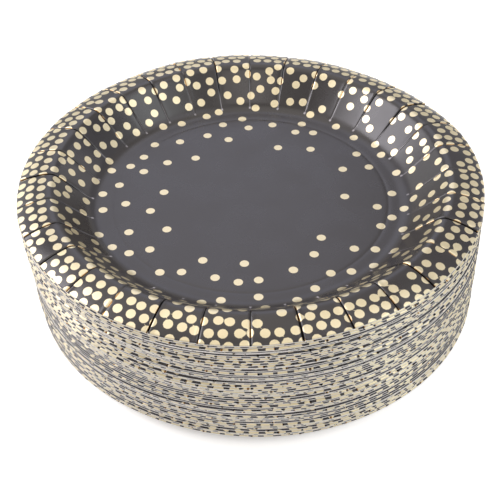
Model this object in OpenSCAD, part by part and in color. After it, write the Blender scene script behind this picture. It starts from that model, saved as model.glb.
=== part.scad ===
// A stack of round pressed-card plates, each nested in the one below.

/* [Stack] */
// Number of plates in the stack
plate_count = 50; // [2:1:50]
// Turn of the top plate, in degrees
top_turn = 5.625; // [0:0.125:11.25]
// Turn from each plate to the next one down, in degrees
turn_step = 137.5; // [0:0.5:180]
// Gap left between a plate's pleats and the plate below
nest_gap = 0.01; // [0.01:0.01:0.3]

/* [Plate] */
// Diameter across the cut edge of the brim
plate_d = 230; // [200:1:260]
// Width of the wall, from the edge of the flat floor out to the crest
wall_w = 25; // [21:0.5:32]
// Depth of the well, from the floor up to the crest
well_depth = 17.3; // [14:0.1:20]
// Thickness of the card
card_t = 0.47; // [0.3:0.01:0.6]

/* [Press ring] */
// Distance from the edge of the floor in to the middle of the press ring
ring_in = 5.3; // [3:0.1:12]
// Width of the press ring
ring_w = 1.2; // [0.6:0.1:3]
// Depth of the press ring in the top of the floor
ring_depth = 0.12; // [0.05:0.01:0.2]

/* [Rim] */
// Width of the brim, from the crest out to the cut edge
brim_w = 15; // [12:0.5:20]
// Drop of the brim, from the crest down to the cut edge
brim_drop = 4; // [3:0.1:6]
// Slope at which the crest hands over to the brim, in degrees
brim_lead = 6; // [2:1:8]
// Radius of the hollow curve where the floor turns up into the wall
foot_r = 11; // [7:0.5:13]
// Radius of the round crest between the wall and the brim
crest_r = 6; // [4:0.5:7]

/* [Pleats] */
// Number of pressed pleats round the wall and brim
pleat_count = 32; // [16:1:40]
// Width of a pleat as an angle round the plate, in degrees
pleat_angle = 1.1; // [0.6:0.1:2]
// Thickness that the gathered card adds under a pleat
pleat_t = 0.47; // [0.2:0.01:0.6]
// Slope of the foot at which a pleat begins, in degrees
pleat_start = 18; // [10:1:30]
// Width of the fold line on top of a pleat as an angle, in degrees
fold_angle = 0.3; // [0.2:0.1:0.5]
// Depth of the fold line on top of a pleat
fold_depth = 0.2; // [0.1:0.01:0.25]

/* [Hidden] */
$fn = 180;
// Each node is one plate, counted from the bottom of the stack.
function plate_name(i) = str("plate_", i < 9 ? "0" : "", i + 1);
// Centres of the foot, crest and brim curves, in a section given as radius and height.
crest_x = plate_d / 2 - brim_w;
floor_x = crest_x - wall_w;
top_z = card_t + well_depth;
foot_at = [floor_x, card_t + foot_r];
crest_at = [crest_x, top_z - crest_r];
// The wall is the straight line that touches both the foot curve and the crest curve.
between = crest_at - foot_at;
wall_slope = atan2(between[1], between[0]) + asin((foot_r + crest_r) / norm(between));
across_wall = [sin(wall_slope), -cos(wall_slope)];
along_wall = [cos(wall_slope), sin(wall_slope)];
// The brim is an arc that carries on from the crest and ends at the cut edge.
crest_end = crest_at + crest_r * [sin(brim_lead), cos(brim_lead)];
brim_chord = [plate_d / 2, top_z - brim_drop] - crest_end;
brim_r = norm(brim_chord) / (2 * sin(atan2(-brim_chord[1], brim_chord[0]) - brim_lead));
brim_at = crest_at - (brim_r - crest_r) * [sin(brim_lead), cos(brim_lead)];
// A plate rests by its pleats on the wall of the plate below.
pitch = (card_t + pleat_t + nest_gap) / cos(wall_slope);
// Length that a pleat leaves free at the ends of what it lies on.
pleat_end = 0.5;
// Straight steps that each curve of the section is made of.
foot_steps = 4;
crest_steps = 4;
brim_steps = 3;

// Points along an arc, from one angle to another.
function arc(at, r, from, to, steps) =
    [for (i = [0 : steps]) let (a = from + (to - from) * i / steps) at + r * [cos(a), sin(a)]];

function reversed(list) = [for (i = [len(list) - 1 : -1 : 0]) list[i]];

// The brim at a depth below its top face, from the crest out to a radius, so that its end is upright.
function brim_line(depth, out_to) =
    arc(brim_at, brim_r - depth, 90 - brim_lead, acos((out_to - brim_at[0]) / (brim_r - depth)), brim_steps);

// The rim at a depth below its top face, from a slope of the foot out to a radius of the brim.
function rim_line(depth, start, out_to) = concat(
    arc(foot_at, foot_r + depth, 270 + start, 270 + wall_slope, foot_steps),
    arc(crest_at, crest_r - depth, 90 + wall_slope, 90 - brim_lead, crest_steps),
    [for (i = [1 : brim_steps]) brim_line(depth, out_to)[i]]
);

// The straight wall alone, at a depth below its top face and short of its two ends.
function wall_line(depth) = [
    foot_at + (foot_r + depth) * across_wall + pleat_end * along_wall,
    crest_at - (crest_r - depth) * across_wall - pleat_end * along_wall
];

// The card itself. The press ring is a shallow groove in the top of the floor.
module plate_section() {
    polygon(concat(
        [[0, 0], [0, card_t]],
        [for (side = [-1 : 1]) [floor_x - ring_in + side * ring_w / 2, card_t - (side == 0 ? ring_depth : 0)]],
        rim_line(0, 0, plate_d / 2),
        reversed(rim_line(card_t, 0, plate_d / 2))
    ));
}

// One wedge of a section for each pleat.
module each_pleat(angle) {
    for (i = [0 : pleat_count - 1])
        rotate((i + 0.5) * 360 / pleat_count - angle / 2)
            rotate_extrude(angle = angle) children();
}

// The gathered card under a pleat, along the whole rim.
module full_pleat() {
    polygon(concat(
        rim_line(card_t / 2, pleat_start, plate_d / 2 - pleat_end),
        reversed(rim_line(card_t + pleat_t, pleat_start, plate_d / 2 - pleat_end))
    ));
}

// The same along the wall alone, which is where the plates bear on each other.
module wall_pleat() {
    polygon(concat(
        wall_line(card_t / 2),
        reversed(wall_line(card_t + pleat_t))
    ));
}

// The fold line pressed into the top of a pleat, cut from above the card.
module fold_line() {
    polygon(concat(
        rim_line(-card_t, pleat_start, plate_d / 2 + card_t),
        reversed(rim_line(fold_depth, pleat_start, plate_d / 2 + card_t))
    ));
}

// One plate. Pleats run out to the edge where the underside shows, and have fold lines where the top shows.
module plate(underside_shows, top_shows) {
    color("#3a373c")
        difference() {
            union() {
                rotate_extrude() plate_section();
                each_pleat(pleat_angle)
                    if (underside_shows) full_pleat();
                    else wall_pleat();
            }
            if (top_shows) each_pleat(fold_angle) fold_line();
        }
}

for (i = [0 : plate_count - 1])
    translate([0, 0, i * pitch])
            rotate(top_turn + (plate_count - 1 - i) * turn_step)
                plate(i == 0, i == plate_count - 1);
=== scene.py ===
import math

import bpy
import numpy as np
from mathutils import Matrix, Vector


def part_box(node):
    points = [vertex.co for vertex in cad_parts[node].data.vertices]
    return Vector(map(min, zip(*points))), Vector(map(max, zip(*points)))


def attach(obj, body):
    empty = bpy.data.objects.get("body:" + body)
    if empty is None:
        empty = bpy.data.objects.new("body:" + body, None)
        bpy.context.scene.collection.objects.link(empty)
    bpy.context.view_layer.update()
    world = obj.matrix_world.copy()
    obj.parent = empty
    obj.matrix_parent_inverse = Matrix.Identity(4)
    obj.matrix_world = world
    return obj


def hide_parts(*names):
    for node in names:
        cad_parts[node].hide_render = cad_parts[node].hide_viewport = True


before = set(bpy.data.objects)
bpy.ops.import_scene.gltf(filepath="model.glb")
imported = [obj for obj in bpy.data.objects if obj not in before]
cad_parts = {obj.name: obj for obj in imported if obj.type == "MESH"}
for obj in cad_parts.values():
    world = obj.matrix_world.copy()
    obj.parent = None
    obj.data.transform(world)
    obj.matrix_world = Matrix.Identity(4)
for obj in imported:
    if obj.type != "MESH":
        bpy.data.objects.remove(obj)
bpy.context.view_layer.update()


# ---------------------------------------------------------------- camera
# The view is from the front, 38 degrees above the rim of the top plate and about half a metre
# from its centre, with a short telephoto lens. The stack leans a little, so the middle of the
# top rim isn't quite over the origin. Lengths here are in metres.

STACK_LEAN = np.array([-0.0029, -0.0040])  # from the lowest plate to the highest, x and y
TOP_TILT = np.array([0.0121, -0.0112])  # slope of the top plate along x and y
RIM_RISE = 0.01377  # from the underside of a plate to the top of its cut edge
SIGHT_RISE = math.radians(38.279)
SIGHT_LENGTH = 0.529
SWING = math.radians(0.0175)  # these three turn the camera off the straight line to the rim
DIP = math.radians(3.9257)
ROLL = math.radians(-0.168)
SENSOR_WIDTH = 36  # millimetres
FOCAL_LENGTH = 1059.6  # in pixels of a frame that is 500 pixels wide
FRAME_WIDTH = 500

rim_centre = np.array([*(STACK_LEAN / 2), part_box("plate_50")[0].z + RIM_RISE])
to_camera = SIGHT_LENGTH * np.array([0, -math.cos(SIGHT_RISE), math.sin(SIGHT_RISE)])
camera = bpy.data.objects.new("camera", bpy.data.cameras.new("camera"))
bpy.context.scene.collection.objects.link(camera)
camera.data.sensor_width = SENSOR_WIDTH
camera.data.lens = SENSOR_WIDTH * FOCAL_LENGTH / FRAME_WIDTH
camera.data.clip_end = 20
camera.matrix_world = (
    Matrix.Translation(rim_centre + to_camera)
    @ Matrix.Rotation(SWING, 4, "Z")
    @ Matrix.Rotation(math.radians(90) - SIGHT_RISE - DIP, 4, "X")
    @ Matrix.Rotation(ROLL, 4, "Z")
)
bpy.context.scene.camera = camera
bpy.context.scene.view_settings.view_transform = "Standard"


# ---------------------------------------------------------------- blank
# Each plate starts as a flat round blank of coated card. One stroke of a press turns its rim
# up into a foot curve, a wall, a tight crest and a brim that falls to the cut edge.
# All lengths of a plate are in millimetres until its mesh is made.

CARD = 0.47
EDGE_R = 115.0
FLOOR_R = 75.0
CREST_R = 100.0
DEPTH = 17.3
FOOT_BEND = 11.0
CREST_BEND = 6.0
BRIM_DROP = 4.0
BRIM_LEAD = math.radians(6)

reach = np.array([CREST_R - FLOOR_R, DEPTH - FOOT_BEND - CREST_BEND])
wall_slope = math.atan2(reach[1], reach[0]) + math.asin((FOOT_BEND + CREST_BEND) / np.hypot(*reach))
wall_length = math.sqrt(reach @ reach - (FOOT_BEND + CREST_BEND) ** 2)
chord = np.array(
    [
        EDGE_R - CREST_R - CREST_BEND * math.sin(BRIM_LEAD),
        BRIM_DROP - CREST_BEND * (1 - math.cos(BRIM_LEAD)),
    ]
)
brim_turn = 2 * (math.atan2(chord[1], chord[0]) - BRIM_LEAD)
brim_length = np.hypot(*chord) / 2 / math.sin(brim_turn / 2) * brim_turn

# Radii on the flat blank where the foot, the wall, the crest and the brim start, and its edge.
bends = FLOOR_R + np.cumsum(
    [0, FOOT_BEND * wall_slope, wall_length, CREST_BEND * (wall_slope + BRIM_LEAD), brim_length]
)
BLANK_R = bends[-1]


def pressed(blank):
    """Radius, height and slope in the pressed plate of a point at a radius on the flat blank.
    The slope is 0 on the floor and changes evenly along each bend. Radius and height are the
    running sums of its cosine and sine, in steps of 0.006 mm."""
    steps = np.linspace(0, BLANK_R, 20001)
    slope = np.interp(steps, bends, [0, wall_slope, wall_slope, -BRIM_LEAD, -BRIM_LEAD - brim_turn])
    middle = (slope[1:] + slope[:-1]) / 2
    radius = np.concatenate([[0], np.cumsum(np.cos(middle))]) * steps[1]
    height = np.concatenate([[0], np.cumsum(np.sin(middle))]) * steps[1]
    return tuple(np.interp(blank, steps, values) for values in (radius, height, slope))


# ---------------------------------------------------------------- print
# The blank is printed black and then stamped with gold foil dots of 4.5 mm. They stand in close
# rows along the cut edge, which trims the outermost row, and thin out towards a plain middle.

DOT_R = 2.25
ROW_DOTS = 114
ROW_KEPT = (1, 0.96, 0.9)  # share of its dots that each row keeps, from the edge inwards
ROW_STEP = 5.5
ROW_INSET = 0.6  # from the cut edge to the middle of the outermost row
ROW_JITTER = 0.6  # off the row, in millimetres
TURN_JITTER = 0.12  # along the row, as a share of the way to the next dot
DOT_RINGS = (  # outer radius, inner radius, area for each dot, least way between two centres
    (106.3, 95, 46, 5.3),
    (95, 84, 95, 6.2),
    (84, 76, 130, 7),
    (76, 60, 180, 8.5),
    (60, 42, 385, 12),
)
DART_THROWS = 60


def scattered_dots(seed):
    """Centres of the dots on the flat blank, as x and y. Three staggered rows follow the edge
    with some jitter. Inside them, each ring takes as many darts as its area over the area for
    each dot. A dart that lands too close to an earlier one is thrown again, up to 60 times."""
    rng = np.random.default_rng(seed)
    placed, start = [], rng.uniform()
    for row, share in enumerate(ROW_KEPT):
        place = np.arange(ROW_DOTS) + row / 2 + start + rng.uniform(-TURN_JITTER, TURN_JITTER, ROW_DOTS)
        turn = 2 * math.pi * place / ROW_DOTS
        radius = BLANK_R - ROW_INSET - ROW_STEP * row + rng.uniform(-ROW_JITTER, ROW_JITTER, ROW_DOTS)
        kept = rng.uniform(size=ROW_DOTS) < share
        placed.extend(np.stack([radius * np.cos(turn), radius * np.sin(turn)], 1)[kept])
    for outer, inner, area, apart in DOT_RINGS:
        for _ in range(round(math.pi * (outer**2 - inner**2) / area)):
            for _ in range(DART_THROWS):
                radius = math.sqrt(rng.uniform(inner**2, outer**2))
                turn = rng.uniform(0, 2 * math.pi)
                dart = np.array([radius * math.cos(turn), radius * math.sin(turn)])
                if np.hypot(*(np.array(placed) - dart).T).min() > apart:
                    placed.append(dart)
                    break
    return np.array(placed, np.float32)


# ---------------------------------------------------------------- pleats
# The blank's rim is too long for the pressed one, so the press gathers it into 32 pleats. Each
# one is a narrow fold that hides the spare card, with a lip beside it and a ridge underneath.
# It starts as a small bruise in the foot and gets deeper out to the cut edge.

PLEATS = 32
PERIOD = 2 * math.pi / PLEATS
FOLD_REACH = 1.7  # half of the strip round a fold that has columns of its own
PLEAT_START = 79.0  # this and the next two are radii on the flat blank
PLEAT_FADE = 77.5
RING_R = 69.7  # the shallow ring that the press leaves in the floor
FAR = 9.0  # the longest way to a dot that is kept
NEAR = 6.0  # dots further in or out than this aren't measured


def pressed_plate(top, under, inside, outside, dots, seed, uneven):
    """One plate, as rings of points from the middle of the top, over the cut edge, to the
    middle of the underside. A column lies at a * FOLD_REACH + f * PERIOD from its pleat, with
    a from -1 to 1 across the fold and f from 0 to 1 along the panel beside it. The card is
    offset from the pressed section, square to it: on top by the fold's V and lip and by the
    ring in the floor, underneath by its thickness and the ridge, and on both by the slant and
    crown of each panel. The V, lip, ridge and ring are bell curves of the way from their
    middle. With each point go its way to the nearest dot, measured on the flat blank with the
    spare card drawn into the folds, and its way to the nearest fold."""
    rng = np.random.default_rng(seed)
    blank = np.concatenate([top, under])
    below = np.arange(len(blank)) >= len(top)
    radius, height, slope = (v[:, None, None] for v in pressed(blank))
    blank, below = blank[:, None, None], below[:, None, None]
    across = np.concatenate([inside, 1 - 2 * outside])
    along = np.concatenate([np.zeros(len(inside)), outside])
    fold = np.minimum(FOLD_REACH / np.maximum(radius, 1), PERIOD / 4)
    turn = across * fold + along * PERIOD
    nearer = np.where(turn > PERIOD / 2, turn - PERIOD, turn)
    off = nearer * radius
    pleat = np.arange(PLEATS)[None, :, None]
    owner = (pleat + (turn > PERIOD / 2)) % PLEATS

    grown = np.clip((blank - PLEAT_START) / (BLANK_R - PLEAT_START), 0, 1)
    strong = (1 + uneven * rng.uniform(-0.5, 0.5, PLEATS))[owner]
    lip_side = rng.choice([-1, 1], PLEATS)[owner]
    width = 0.22 + 0.3 * grown
    vee = -(0.08 + 0.62 * grown**0.8) * strong * np.exp(-np.abs(off / width) ** 1.6)
    lip = 0.28 * grown * strong * np.exp(-(((off * lip_side - 1.0) / 0.75) ** 2))
    left, right = uneven * rng.normal(0, 0.13, (2, PLEATS + 1))  # the last of each isn't used
    part = np.where(turn < 0, 1 + turn / PERIOD, turn / PERIOD)
    panel = (pleat - (turn < 0)) % PLEATS
    slant = ((1 - part) * left[panel] + part * right[panel]) * grown
    crown = 0.1 * uneven * grown * (1 - (2 * part - 1) ** 2)
    fade = np.clip((blank - PLEAT_FADE) / 3, 0, 1)
    ring = -0.1 * np.exp(-(((blank - RING_R) / 0.8) ** 2))
    shared = slant + crown
    ridge = 0.3 * fade * strong * np.exp(-((off / 0.9) ** 2))
    lift = np.where(below, shared - CARD - ridge, shared + ring + fade * (vee + lip))

    centre = (pleat + 0.5 + (turn > PERIOD / 2)) * PERIOD
    angle = centre + nearer
    r = radius - lift * np.sin(slope)
    z = CARD + height + lift * np.cos(slope)
    r = np.where(below & (blank == BLANK_R), EDGE_R - shared * np.sin(slope), r)
    points = np.stack([r * np.cos(angle), r * np.sin(angle), z], -1).reshape(len(blank), -1, 3)

    spare = 2 * math.pi * (blank - radius) / PLEATS
    drawn = spare / 2 * np.clip(off / width / 1.4, -1, 1)
    printed = centre + (off + drawn) / np.maximum(blank, 1)
    spot = np.stack([blank * np.cos(printed), blank * np.sin(printed)], -1).reshape(len(blank), -1, 2)
    to_dot = np.full(spot.shape[:2], FAR)
    for i in range(len(top)):
        near = dots[np.abs(np.hypot(*dots.T) - blank[i, 0, 0]) < NEAR]
        if len(near):
            ways = np.hypot(*(spot[i][:, None] - near[None]).transpose(2, 0, 1))
            to_dot[i] = np.minimum(ways.min(1), FAR)

    spread = {
        "blank": blank,
        "angle": angle,
        "to_fold": np.abs(off),
        "wear": rng.uniform(size=PLEATS)[owner],
        # How strongly each fold is painted near its middle: painted shade, foil left out, and amber beside
        # it.
        "crease": np.clip(2.5 * grown, 0, 1) * strong * np.exp(-((off / (0.24 + 0.2 * grown)) ** 2)),
    }
    plate = {key: np.broadcast_to(v, r.shape).reshape(len(blank), -1) for key, v in spread.items()}
    return {**plate, "points": points, "to_dot": to_dot, "tops": len(top)}


# ---------------------------------------------------------------- coated card
# The face is a white card printed black and coated, so it is satin and slightly cloudy. The dots
# are a metal foil, hot-stamped, with a soft champagne shine. Where a pleat starts, the coating is
# bruised to a white speck, and a thin pale scuff runs up the wall from it. Deep in a pleat the
# card is painted near black with its gloss turned down, as painted shade, and the foil is left out
# there. Beside it the foil is painted amber, partly as cracked foil and partly as a painted
# reflection of the fold.


def linear(code):
    """An sRGB hex colour as linear RGBA: each channel to the power 2.4, or over 12.92 near black."""
    c = np.array([int(code[i : i + 2], 16) / 255 for i in (1, 3, 5)])
    return (*np.where(c <= 0.04045, c / 12.92, ((c + 0.055) / 1.055) ** 2.4), 1)


def cleared(owner):
    """The node tree of a material or of the world, switched on and emptied."""
    owner.use_nodes = True
    owner.node_tree.nodes.clear()
    return owner.node_tree


def add_node(tree, kind, settings=None, **links):
    """Adds a node, sets its properties, and sets or links its inputs by socket name or number."""
    n = tree.nodes.new(kind)
    for key, value in (settings or {}).items():
        setattr(n, key, value)
    for key, value in links.items():
        numbered = key[0] == "_" and key[1:].isdigit()
        socket = n.inputs[int(key[1:])] if numbered else n.inputs[key.replace("_", " ")]
        if isinstance(value, bpy.types.NodeSocket):
            tree.links.new(value, socket)
        else:
            socket.default_value = value
    return n


def coated_card():
    """The printed face. Each look is a socket that later looks build on: first what the mesh
    says of a point, then two noises, then smooth steps from one value to another, then
    products of those, and last the colours, each a mix of two others."""
    material = bpy.data.materials.new("coated_black_card_with_foil_dots")
    tree = cleared(material)
    look = {}
    for name in ("to_dot", "to_fold", "blank", "wear", "crease"):
        look[name] = add_node(tree, "ShaderNodeAttribute", {"attribute_name": name}).outputs["Fac"]

    # The coating clouds over about 22 mm. Card fibres are too fine to show, so they are drawn
    # at about 0.7 mm.
    place = add_node(tree, "ShaderNodeTexCoord").outputs["Object"]
    for name, scale, detail in (("cloud", 45.0, 3.0), ("fibre", 1400.0, 2.0)):
        look[name] = add_node(tree, "ShaderNodeTexNoise", Vector=place, Scale=scale, Detail=detail).outputs[0]

    # Name, what it follows, where the step starts and ends, and the values there. Those that
    # follow to_dot, to_fold and blank are in millimetres.
    for name, source, start, end, first, last in (
        ("dot", "to_dot", DOT_R - 0.12, DOT_R + 0.12, 1.0, 0.0),
        # Deep in each pleat the card is painted near black with its gloss turned down, as painted shade, and
        # the foil is left out there.
        ("slit_shade", "crease", 0.35, 0.75, 0.0, 1.0),
        ("unbroken", "crease", 0.45, 0.75, 1.0, 0.0),
        # Beside each fold the foil turns amber: partly cracked foil, partly a painted reflection of the fold.
        ("crack_and_reflection", "crease", 0.14, 0.46, 0.0, 1.0),
        ("bruise_width", "to_fold", 0.25, 0.75, 1.0, 0.0),
        ("bruise_start", "blank", 78.9, 79.5, 0.0, 1.0),
        ("bruise_end", "blank", 80.1, 80.8, 1.0, 0.0),
        ("bruise_wear", "wear", 0.0, 1.0, 0.35, 0.9),
        ("scuff_width", "to_fold", 0.08, 0.3, 1.0, 0.0),
        ("scuff_start", "blank", 79.5, 81.0, 0.0, 1.0),
        ("scuff_end", "blank", 88.0, 100.0, 1.0, 0.0),
        ("scuff_wear", "wear", 0.15, 0.9, 0.05, 0.55),
        ("satin_roughness", "cloud", 0.3, 0.7, 0.25, 0.33),
        ("foil_roughness", "fibre", 0.3, 0.7, 0.36, 0.44),
        # Painted shade: the gloss falls deep in each pleat, which takes its reflection away.
        ("gloss", "slit_shade", 0.0, 1.0, 0.85, 0.08),
    ):
        look[name] = add_node(
            tree,
            "ShaderNodeMapRange",
            {"interpolation_type": "SMOOTHSTEP"},
            _0=look[source],
            _1=start,
            _2=end,
            _3=first,
            _4=last,
        ).outputs[0]

    for name, operation, first, second in (
        ("foil", "MULTIPLY", "dot", "unbroken"),
        ("bruise_length", "MULTIPLY", "bruise_start", "bruise_end"),
        ("bruise_form", "MULTIPLY", "bruise_width", "bruise_length"),
        ("bruise", "MULTIPLY", "bruise_form", "bruise_wear"),
        ("scuff_length", "MULTIPLY", "scuff_start", "scuff_end"),
        ("scuff_form", "MULTIPLY", "scuff_width", "scuff_length"),
        ("scuff", "MULTIPLY", "scuff_form", "scuff_wear"),
        ("pale", "MAXIMUM", "bruise", "scuff"),
    ):
        look[name] = add_node(
            tree, "ShaderNodeMath", {"operation": operation}, _0=look[first], _1=look[second]
        ).outputs[0]

    # Name, what mixes it, and the two colours, each a hex code or a name from this list.
    for name, share, *pair in (
        ("black", "cloud", "#211d20", "#282428"),
        ("worn", "pale", "black", "#bdb9c0"),
        # A near black mixed in deep in each pleat: painted shade.
        ("shaded", "slit_shade", "worn", "#0b0909"),
        ("gold", "fibre", "#ecdeb9", "#f4eacb"),
        # Amber foil beside each fold, partly cracked foil and partly a painted reflection.
        ("cracked_and_reflecting", "crack_and_reflection", "gold", "#bd8a45"),
        ("colour", "foil", "shaded", "cracked_and_reflecting"),
    ):
        one, other = (look[c] if c in look else linear(c) for c in pair)
        look[name] = add_node(
            tree, "ShaderNodeMix", {"data_type": "RGBA"}, _0=look[share], _6=one, _7=other
        ).outputs[2]

    rough = add_node(
        tree,
        "ShaderNodeMix",
        {"data_type": "FLOAT"},
        _0=look["foil"],
        _2=look["satin_roughness"],
        _3=look["foil_roughness"],
    ).outputs[0]
    bump = add_node(tree, "ShaderNodeBump", Height=look["fibre"], Strength=0.06, Distance=0.0002).outputs[0]
    # The specular level drops deep in each pleat, which paints shade there by taking away its reflection.
    shader = add_node(
        tree,
        "ShaderNodeBsdfPrincipled",
        Base_Color=look["colour"],
        Metallic=look["foil"],
        Roughness=rough,
        Normal=bump,
        Specular_IOR_Level=look["gloss"],
    ).outputs[0]
    add_node(tree, "ShaderNodeOutputMaterial", Surface=shader)
    return material


def bare_card(name, dark, light):
    """Uncoated card, matte, mixed from two colours by its fibres. They are too fine to show,
    so they are drawn at about 1.1 mm."""
    material = bpy.data.materials.new(name)
    tree = cleared(material)
    place = add_node(tree, "ShaderNodeTexCoord").outputs["Object"]
    fibre = add_node(tree, "ShaderNodeTexNoise", Vector=place, Scale=900.0, Detail=3.0).outputs[0]
    colour = add_node(
        tree, "ShaderNodeMix", {"data_type": "RGBA"}, _0=fibre, _6=linear(dark), _7=linear(light)
    ).outputs[2]
    bump = add_node(tree, "ShaderNodeBump", Height=fibre, Strength=0.15, Distance=0.0002).outputs[0]
    shader = add_node(
        tree, "ShaderNodeBsdfPrincipled", Base_Color=colour, Roughness=0.85, Normal=bump
    ).outputs[0]
    add_node(tree, "ShaderNodeOutputMaterial", Surface=shader)
    return material


# ---------------------------------------------------------------- plates
# Fifty plates lie in each other, each turned from the next, and the ones between the lowest and
# the highest are cut from twelve printed sheets. The card is white where it is cut and greyer on
# its uncoated back, partly as the board's own tone and partly as painted shade for the narrow
# gaps between the stacked rims, which the foil mirrors. The lowest plate shows its underside and
# the highest its face, so those two have the finest meshes. The rims wave a little, so the gaps
# between the cut edges open and close round the stack, and each wave is kept from dropping far
# below the one under it.

SHEETS = 12
PRINT_SHIFT = np.array([0.9, -0.7])  # how far the top plate's print is off its centre
SHEET_SHIFT = 1.3  # spread of the same for the sheets
SLIP = 0.2  # spread of a plate's place on the one below
LOOSE_R = 92  # radius on the flat blank from which the rim waves
WAVE_KEPT = 0.8  # share of its wave that a rim takes from the one below
WAVE_STEP = np.array([0.19, 0.18, 0.16, 0.14, 0.12, 0.1, 0.08])  # spread of the rest, for 1 to 7 waves
WAVE_LIMIT = 1
RIM_SINK = 0.45  # how far a rim's wave may drop below the wave of the one below
FRONT_RISE = 0.5  # how far the top rim stands up at the front
HALF_PLEAT = 5.625  # degrees
PLATE_TURN = 137.5  # degrees from one plate to the next, so that no pleats line up

rng = np.random.default_rng(21)
face, edge = coated_card(), bare_card("white_cut_edge", "#e6e3de", "#faf8f5")
# The back's greyer tone is partly the board's own and partly painted shade for the gaps between the rims.
back = bare_card("greyer_card_back_with_painted_gap_shade", "#c6bcac", "#d9d1c4")
dots = scattered_dots(11)

# Columns across a fold and along a panel, and rings on the flat blank.
fold_fine = np.array([-1, -0.72, -0.5, -0.34, -0.2, -0.08, 0.08, 0.2, 0.34, 0.5, 0.72, 1])
fold_plain = np.array([-1, -0.4, 0, 0.4, 1])
panel_fine = np.arange(1, 16) / 16
panel_plain = np.arange(1, 10) / 10
bend_rings = np.array(
    [bends[0], bends[0] / 2 + bends[1] / 2, bends[1], bends[2], bends[2] / 2 + bends[3] / 2, bends[3]]
)
edge_rings = BLANK_R - np.array([6, 1.2, 0])
fine_top = np.concatenate(
    [
        [7, 14, 21, 28, 35, 41],
        np.arange(42, 69, 1.15),
        RING_R + np.array([-0.7, -0.35, 0, 0.35, 0.7]),
        np.linspace(71, BLANK_R, 55),
    ]
)
plain_top = np.concatenate([bend_rings, edge_rings])
plain_under = np.concatenate([[BLANK_R, BLANK_R - 6], bend_rings[::-1]])
fine_under = np.concatenate(
    [[BLANK_R], BLANK_R - np.array([0.5, 1.5, 4, 8, 12]), np.linspace(bends[3], 77, 12), [73, 45, 15]]
)
whole = pressed_plate(fine_top, plain_under, fold_fine, panel_fine, dots + PRINT_SHIFT, 3, 1.0)
plain = []
for n in range(SHEETS):
    sheet = scattered_dots(30 + n) + rng.normal(0, SHEET_SHIFT, 2)
    plain.append(pressed_plate(plain_top, plain_under, fold_plain, panel_plain, sheet, n, 0.8))
lowest = pressed_plate(plain_top, fine_under, fold_fine, panel_fine, dots, 8, 0.7)


def plate_mesh(name, plate, points):
    """A closed mesh from rings of points: quads between neighbouring rings, and a fan at each
    end round the mean of its ring. The row of quads at the last ring of the top is the cut
    edge, the rows before it are the face, and the rows after it are the back."""
    rings, columns = points.shape[:2]
    first, last = rings * columns, rings * columns + 1
    top_pole, low_pole = points[0].mean(0), points[-1].mean(0)
    i, j = np.meshgrid(np.arange(rings - 1), np.arange(columns), indexing="ij")
    k = (j + 1) % columns
    corners = [i * columns + j, (i + 1) * columns + j, (i + 1) * columns + k, i * columns + k]
    quads = np.stack(corners, -1).reshape(-1, 4)
    j = np.arange(columns)
    k = (j + 1) % columns
    top_fan = np.stack([np.full(columns, first), j, k], 1)
    low_fan = np.stack([np.full(columns, last), (rings - 1) * columns + k, (rings - 1) * columns + j], 1)
    corners = np.vstack([points.reshape(-1, 3), top_pole, low_pole]) / 1000
    mesh = bpy.data.meshes.new(name)
    mesh.from_pydata(corners, [], quads.tolist() + top_fan.tolist() + low_fan.tolist())
    row = np.concatenate([i.ravel(), np.zeros(columns), np.full(columns, rings)]).astype(int)
    slot = (row >= plate["tops"] - 1).astype(np.int32) + (row >= plate["tops"])
    mesh.polygons.foreach_set("material_index", slot)
    mesh.polygons.foreach_set("use_smooth", row != plate["tops"] - 1)
    for key, pole in (("blank", 0), ("to_dot", FAR), ("to_fold", FAR), ("wear", 0), ("crease", 0)):
        values = np.append(plate[key].ravel(), [pole, pole]).astype(np.float32)
        mesh.attributes.new(key, "FLOAT", "POINT").data.foreach_set("value", values)
    for material in (face, edge, back):
        mesh.materials.append(material)
    mesh.update()
    return mesh


wave = np.zeros((len(WAVE_STEP), 2))
round_rim = np.linspace(0, 2 * math.pi, 721)
sway = np.zeros(len(round_rim))
names = sorted(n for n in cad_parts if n.startswith("plate_"))
highest = len(names) - 1
for i, name in enumerate(names):
    between = 0 < i < highest
    plate = plain[rng.integers(SHEETS)] if between else whole if i else lowest
    share = i / highest
    wave = WAVE_KEPT * wave + rng.normal(0, 1, wave.shape) * WAVE_STEP[:, None]
    if i == highest:
        wave[0, 1] -= FRONT_RISE
    turn = math.radians(HALF_PLEAT + (highest - i) * PLATE_TURN)
    spin = [[math.cos(turn), math.sin(turn), 0], [-math.sin(turn), math.cos(turn), 0], [0, 0, 1]]
    points = plate["points"] @ np.array(spin)
    angle = plate["angle"] + turn
    loose = np.clip((plate["blank"] - LOOSE_R) / (BLANK_R - LOOSE_R), 0, 1) ** 1.5
    free = sum(a * np.cos(m * round_rim) + b * np.sin(m * round_rim) for m, (a, b) in enumerate(wave, 1))
    sway = np.maximum(np.clip(free, -WAVE_LIMIT, WAVE_LIMIT), sway - RIM_SINK)
    waved = loose * np.interp(angle % (2 * math.pi), round_rim, sway)
    points[..., 2] += waved + share * points[..., :2] @ TOP_TILT
    points[..., :2] += 1000 * STACK_LEAN * (share - 0.5) + (rng.normal(0, SLIP, 2) if between else 0)
    points[..., 2] += 1000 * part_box(name)[0].z
    piece = bpy.data.objects.new(name + "_pressed", plate_mesh(name + "_pressed", plate, points))
    bpy.context.scene.collection.objects.link(piece)
    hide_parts(name)
    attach(piece, "root")


# ---------------------------------------------------------------- floor and light
# A white sweep of paper, which glows away from the stack, so that only the shadow close under it
# is kept. The soft sky is brightest low down and overhead and darker between them, and eight
# square lamps stand round the stack.

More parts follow.
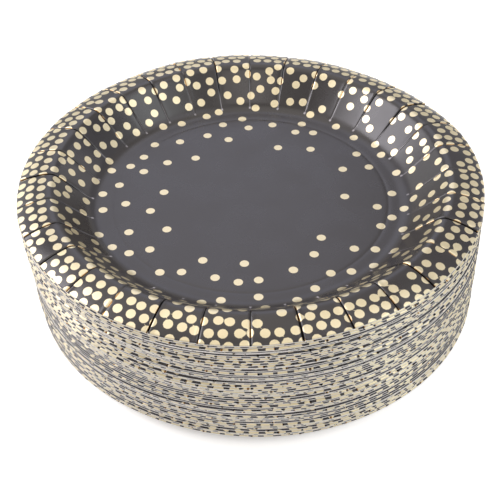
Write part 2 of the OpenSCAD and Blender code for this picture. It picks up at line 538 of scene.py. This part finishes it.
SWEEP = 8.0  # metres from the middle to each side
SWEEP_DROP = 0.0002
SHADOW_START, SHADOW_END = 0.0975, 0.1082  # the shadow fades out between these, in metres
SKY = (  # sine of the rise above the horizon, and the colour there
    (0.22, (0.71, 0.69, 0.66)),
    (0.5, (0.41, 0.41, 0.45)),
    (0.75, (0.6, 0.56, 0.5)),
)
HORIZON, OVERHEAD = (0.1, 0.1, 0.1, 1), (0.62, 0.58, 0.5, 1)

floor = bpy.data.objects.new("floor", bpy.data.meshes.new("floor"))
sides = ((-1, -1), (1, -1), (1, 1), (-1, 1))
floor.data.from_pydata([(SWEEP * x, SWEEP * y, -SWEEP_DROP) for x, y in sides], [], [(0, 1, 2, 3)])
bpy.context.scene.collection.objects.link(floor)
paper = bpy.data.materials.new("white_sweep")
tree = cleared(paper)
path = add_node(tree, "ShaderNodeLightPath").outputs
seen = add_node(
    tree, "ShaderNodeMath", {"operation": "MAXIMUM"}, _0=path["Is Camera Ray"], _1=path["Is Glossy Ray"]
).outputs[0]
place = add_node(tree, "ShaderNodeTexCoord").outputs["Object"]
away = add_node(tree, "ShaderNodeVectorMath", {"operation": "LENGTH"}, _0=place).outputs["Value"]
fill = add_node(
    tree,
    "ShaderNodeMapRange",
    {"interpolation_type": "SMOOTHSTEP"},
    _0=away,
    _1=SHADOW_START,
    _2=SHADOW_END,
    _3=0.02,
    _4=0.68,
).outputs[0]
strength = add_node(tree, "ShaderNodeMath", {"operation": "MULTIPLY"}, _0=seen, _1=fill).outputs[0]
glow = add_node(tree, "ShaderNodeEmission", Color=(1, 1, 1, 1), Strength=strength).outputs[0]
matte = add_node(tree, "ShaderNodeBsdfDiffuse", Color=linear("#e8e8e8")).outputs[0]
both = add_node(tree, "ShaderNodeAddShader", _0=matte, _1=glow).outputs[0]
add_node(tree, "ShaderNodeOutputMaterial", Surface=both)
floor.data.materials.append(paper)

world = bpy.data.worlds.new("soft_sky")
bpy.context.scene.world = world
tree = cleared(world)
direction = add_node(tree, "ShaderNodeTexCoord").outputs["Generated"]
rise = add_node(tree, "ShaderNodeSeparateXYZ", _0=direction).outputs[2]
ramp = add_node(tree, "ShaderNodeValToRGB", Fac=rise)
stops = ramp.color_ramp.elements
for at, tone in SKY:
    stops.new(at).color = (*tone, 1)
stops[0].color, stops[-1].color = HORIZON, OVERHEAD
sky = add_node(tree, "ShaderNodeBackground", Color=ramp.outputs[0]).outputs[0]
add_node(tree, "ShaderNodeOutputWorld", Surface=sky)


def soft_lamp(name, turn, rise, away, size, strength, tint):
    """A square area lamp that looks at the stack: its turn is counted in degrees from the back
    towards the right, and its power is the strength of its glow times pi and its area."""
    lamp = bpy.data.objects.new(name, bpy.data.lights.new(name, "AREA"))
    lamp.data.shape, lamp.data.size, lamp.data.color = "SQUARE", size, tint
    lamp.data.energy = strength * math.pi * size**2
    turn, rise = math.radians(turn), math.radians(rise)
    back = Vector((math.sin(turn) * math.cos(rise), math.cos(turn) * math.cos(rise), math.sin(rise)))
    lamp.location = Vector((0, 0, 0.07)) + away * back
    lamp.rotation_euler = back.to_track_quat("Z", "Y").to_euler()
    bpy.context.scene.collection.objects.link(lamp)


soft_lamp("left_softbox", 283, 35, 1.6, 1.1, 3.8, (1.02, 0.98, 1.04))
soft_lamp("left_rim_lamp", 315, 12, 2.0, 0.8, 0.7, (1, 1, 1))
soft_lamp("right_softbox", 108, 40, 1.7, 0.9, 1.75, (0.95, 1.01, 1.04))
soft_lamp("right_top_lamp", 80, 65, 1.8, 0.8, 0.9, (0.96, 0.96, 1.1))
soft_lamp("right_rim_lamp", 50, 12, 2.0, 0.8, 0.75, (1, 0.96, 1.06))
soft_lamp("back_softbox", 352, 38, 1.9, 1.0, 0.75, (0.92, 0.94, 1.14))
soft_lamp("top_lamp", 335, 71, 1.8, 1.1, 0.55, (1.07, 1, 0.93))
soft_lamp("front_top_lamp", 180, 56, 1.8, 0.7, 1.3, (1.05, 0.98, 0.96))
